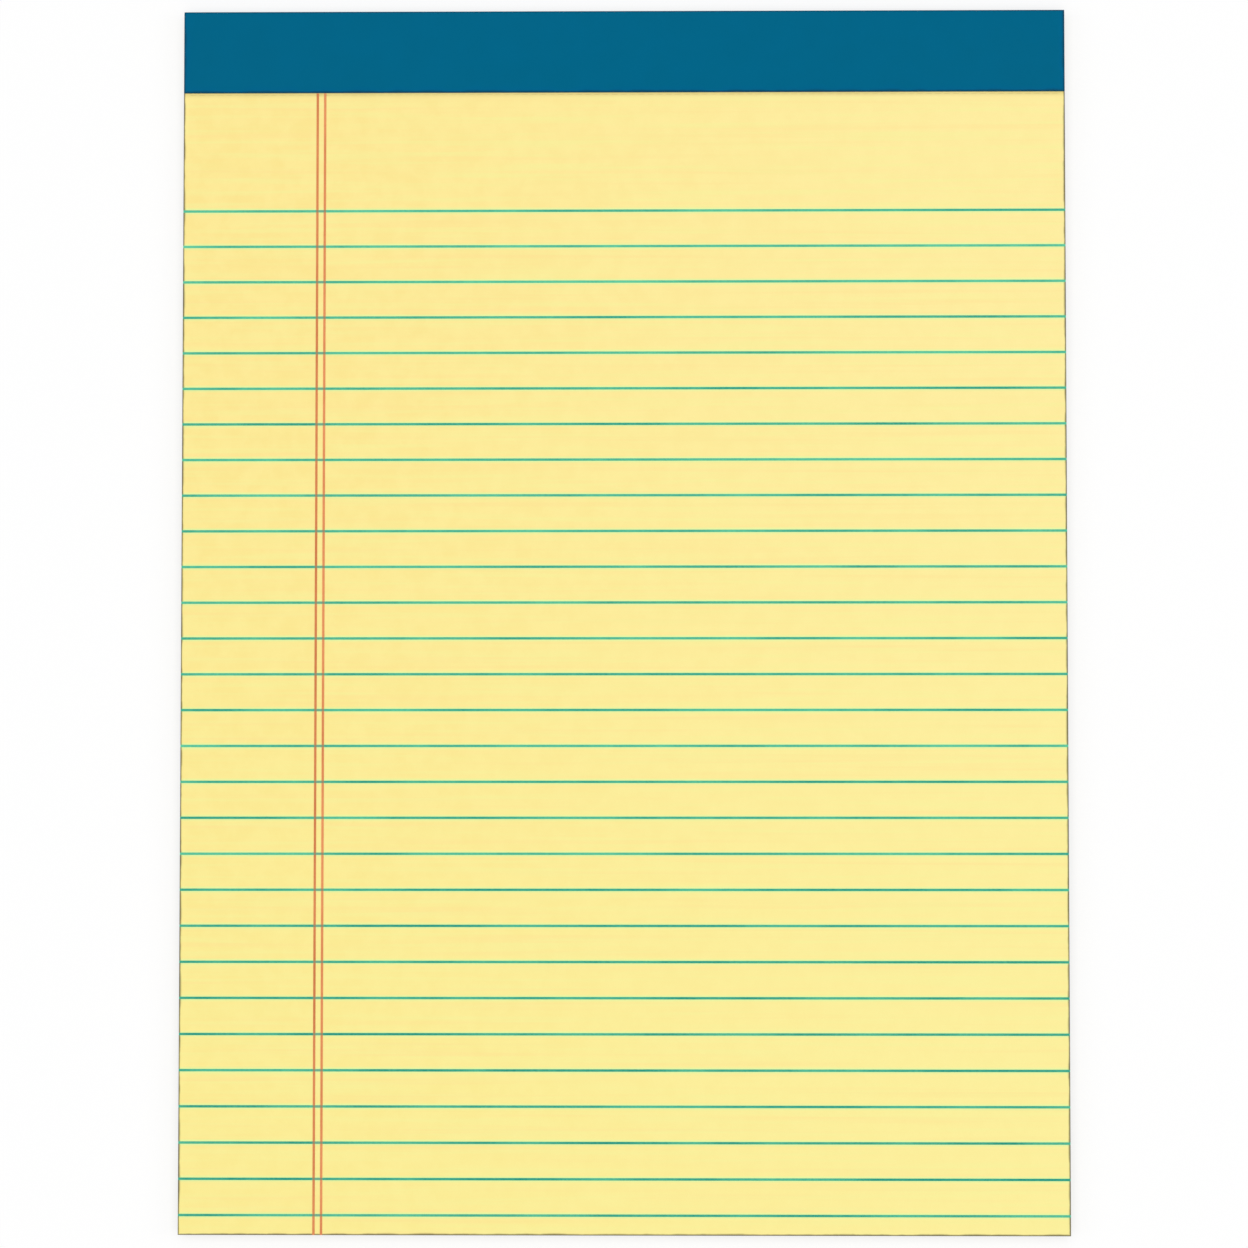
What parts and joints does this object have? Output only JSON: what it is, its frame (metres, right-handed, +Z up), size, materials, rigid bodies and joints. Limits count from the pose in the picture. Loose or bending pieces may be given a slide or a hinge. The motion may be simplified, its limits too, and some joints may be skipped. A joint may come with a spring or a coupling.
{
  "type": "legal pad",
  "caption": "Flat ruled writing pad: yellow sheets with blue rules and a red double margin, stiff board back, blue tape folded over the stitched head.",
  "frame": {"origin": "under the middle of the pad, on the surface that it lies on", "axes": "+X to the writer's right, +Y towards the bound head, +Z up out of the page"},
  "size_m": [0.216, 0.2986, 0.0057],
  "materials": {
    "canary_paper": "matt, lightly toothed writing paper",
    "chipboard": "matt grey-brown recycled board",
    "blue_tape": "satin coated paper tape",
    "stitching_wire": "bright galvanised wire",
    "blue_ink": "matt printed line",
    "red_ink": "matt printed line"
  },
  "bodies": {
    "root": {"ruled_sheets": "canary_paper", "backing_board": "chipboard", "binding_tape": "blue_tape", "wire_stitches": "stitching_wire", "blue_rules": "blue_ink", "margin_rules": "red_ink"}
  },
  "joints": []
}
